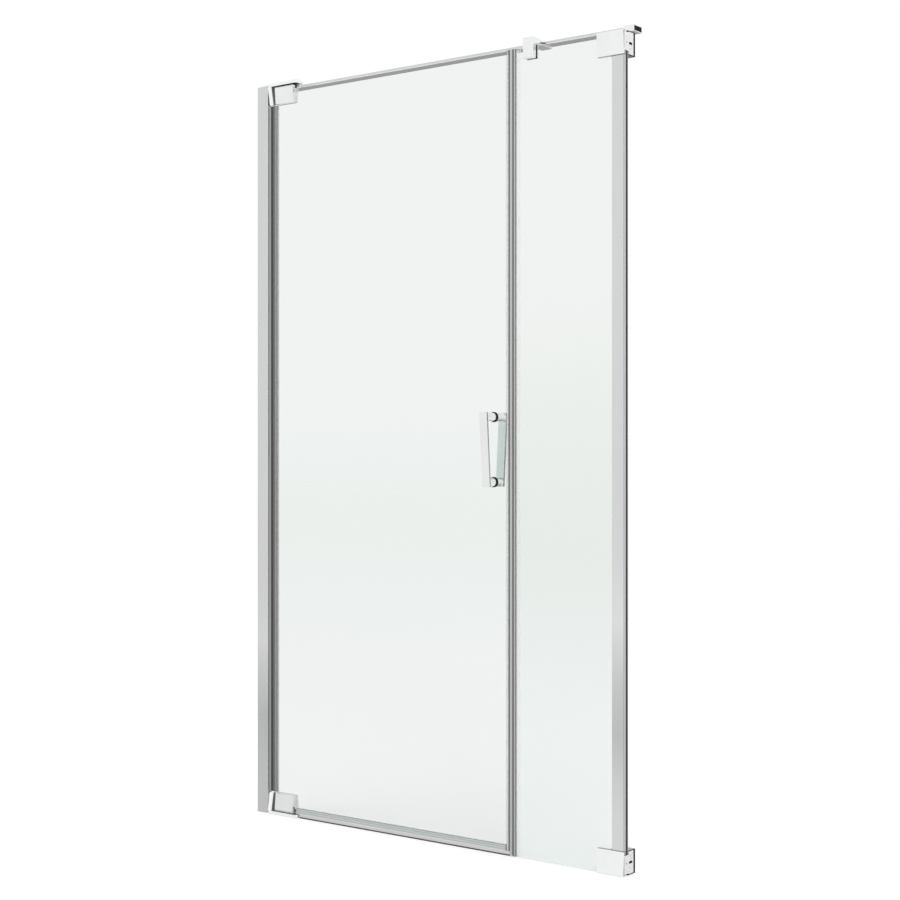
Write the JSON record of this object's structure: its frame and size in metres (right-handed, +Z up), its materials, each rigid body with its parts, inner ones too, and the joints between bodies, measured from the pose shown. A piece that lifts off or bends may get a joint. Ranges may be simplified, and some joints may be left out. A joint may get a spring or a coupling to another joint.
{
  "type": "hinged shower door",
  "caption": "Wall-to-wall shower front: clear glass door on top and bottom pivot hinges beside a fixed glass panel tied to a flat bar, with a leaning pull handle.",
  "frame": {"origin": "on the hinge-side wall face, on the glass centre plane, at tray level", "axes": "+X along the opening from the hinge-side wall to the other wall, +Y into the shower, +Z up"},
  "size_m": [1.15, 0.1134, 1.95],
  "materials": {
    "clear_glass": "polished, clear with a slight green cast",
    "chrome": "polished",
    "bright_aluminium": "bright anodised",
    "clear_vinyl": "translucent, smooth",
    "black_rubber": "matte",
    "grey_gasket": "matte",
    "magnet_rubber": "matte",
    "white_nylon": "satin",
    "black_plastic": "matte",
    "stainless_steel": "satin"
  },
  "bodies": {
    "frame": {"bar_clamp": "chrome", "bar_clamp_gasket": "black_rubber", "bar_clamp_screws": "stainless_steel", "bar_socket_screws": "stainless_steel", "bottom_bracket_body": "chrome", "bottom_bracket_front_cover": "chrome", "bottom_bracket_rear_cover": "chrome", "bottom_hinge_casting": "chrome", "bracket_clamp_screws": "stainless_steel", "bracket_pads": "black_rubber", "fixed_glass": "clear_glass", "fixed_magnetic_seal": "clear_vinyl", "glass_profile": "bright_aluminium", "glass_profile_screws": "stainless_steel", "glazing_gaskets": "grey_gasket", "hinge_bar_socket": "chrome", "hinge_casting_screws": "stainless_steel", "hinge_leg_liners": "black_rubber", "hinge_profile": "bright_aluminium", "hinge_profile_screws": "stainless_steel", "hinge_side_lip": "clear_vinyl", "hinge_wall_channel": "bright_aluminium", "hinge_wall_plug": "black_plastic", "magnet_strip_fixed": "magnet_rubber", "pivot_pins": "stainless_steel", "stabiliser_bar": "bright_aluminium", "strike_bar_socket": "chrome", "strike_wall_channel": "bright_aluminium", "strike_wall_plug": "black_plastic", "top_bracket_body": "chrome", "top_bracket_front_cover": "chrome", "top_bracket_rear_cover": "chrome", "top_hinge_casting": "chrome", "wall_tapes": "black_rubber"},
    "door": {"bottom_hinge_front_plate": "chrome", "bottom_hinge_rear_plate": "chrome", "bottom_pivot_block": "chrome", "door_glass": "clear_glass", "door_magnetic_seal": "clear_vinyl", "drip_lip": "black_rubber", "drip_seal": "clear_vinyl", "handle_bolts": "stainless_steel", "handle_front_bar": "chrome", "handle_front_posts": "chrome", "handle_grub_screws": "stainless_steel", "handle_rear_bar": "chrome", "handle_rear_posts": "chrome", "handle_sleeves": "white_nylon", "handle_washers": "black_rubber", "hinge_caps": "black_plastic", "hinge_clamp_screws": "stainless_steel", "hinge_pads": "clear_vinyl", "hinge_side_seal": "clear_vinyl", "magnet_strip_door": "magnet_rubber", "pivot_bushes": "white_nylon", "thrust_washer": "white_nylon", "top_hinge_front_plate": "chrome", "top_hinge_rear_plate": "chrome", "top_pivot_block": "chrome"}
  },
  "joints": [
    {"name": "door_pivot", "type": "hinge", "parent": "frame", "child": "door", "pos_m": [0.1005, 0, 0], "axis": [0, 0, -1], "range_deg": [0, 90]}
  ]
}
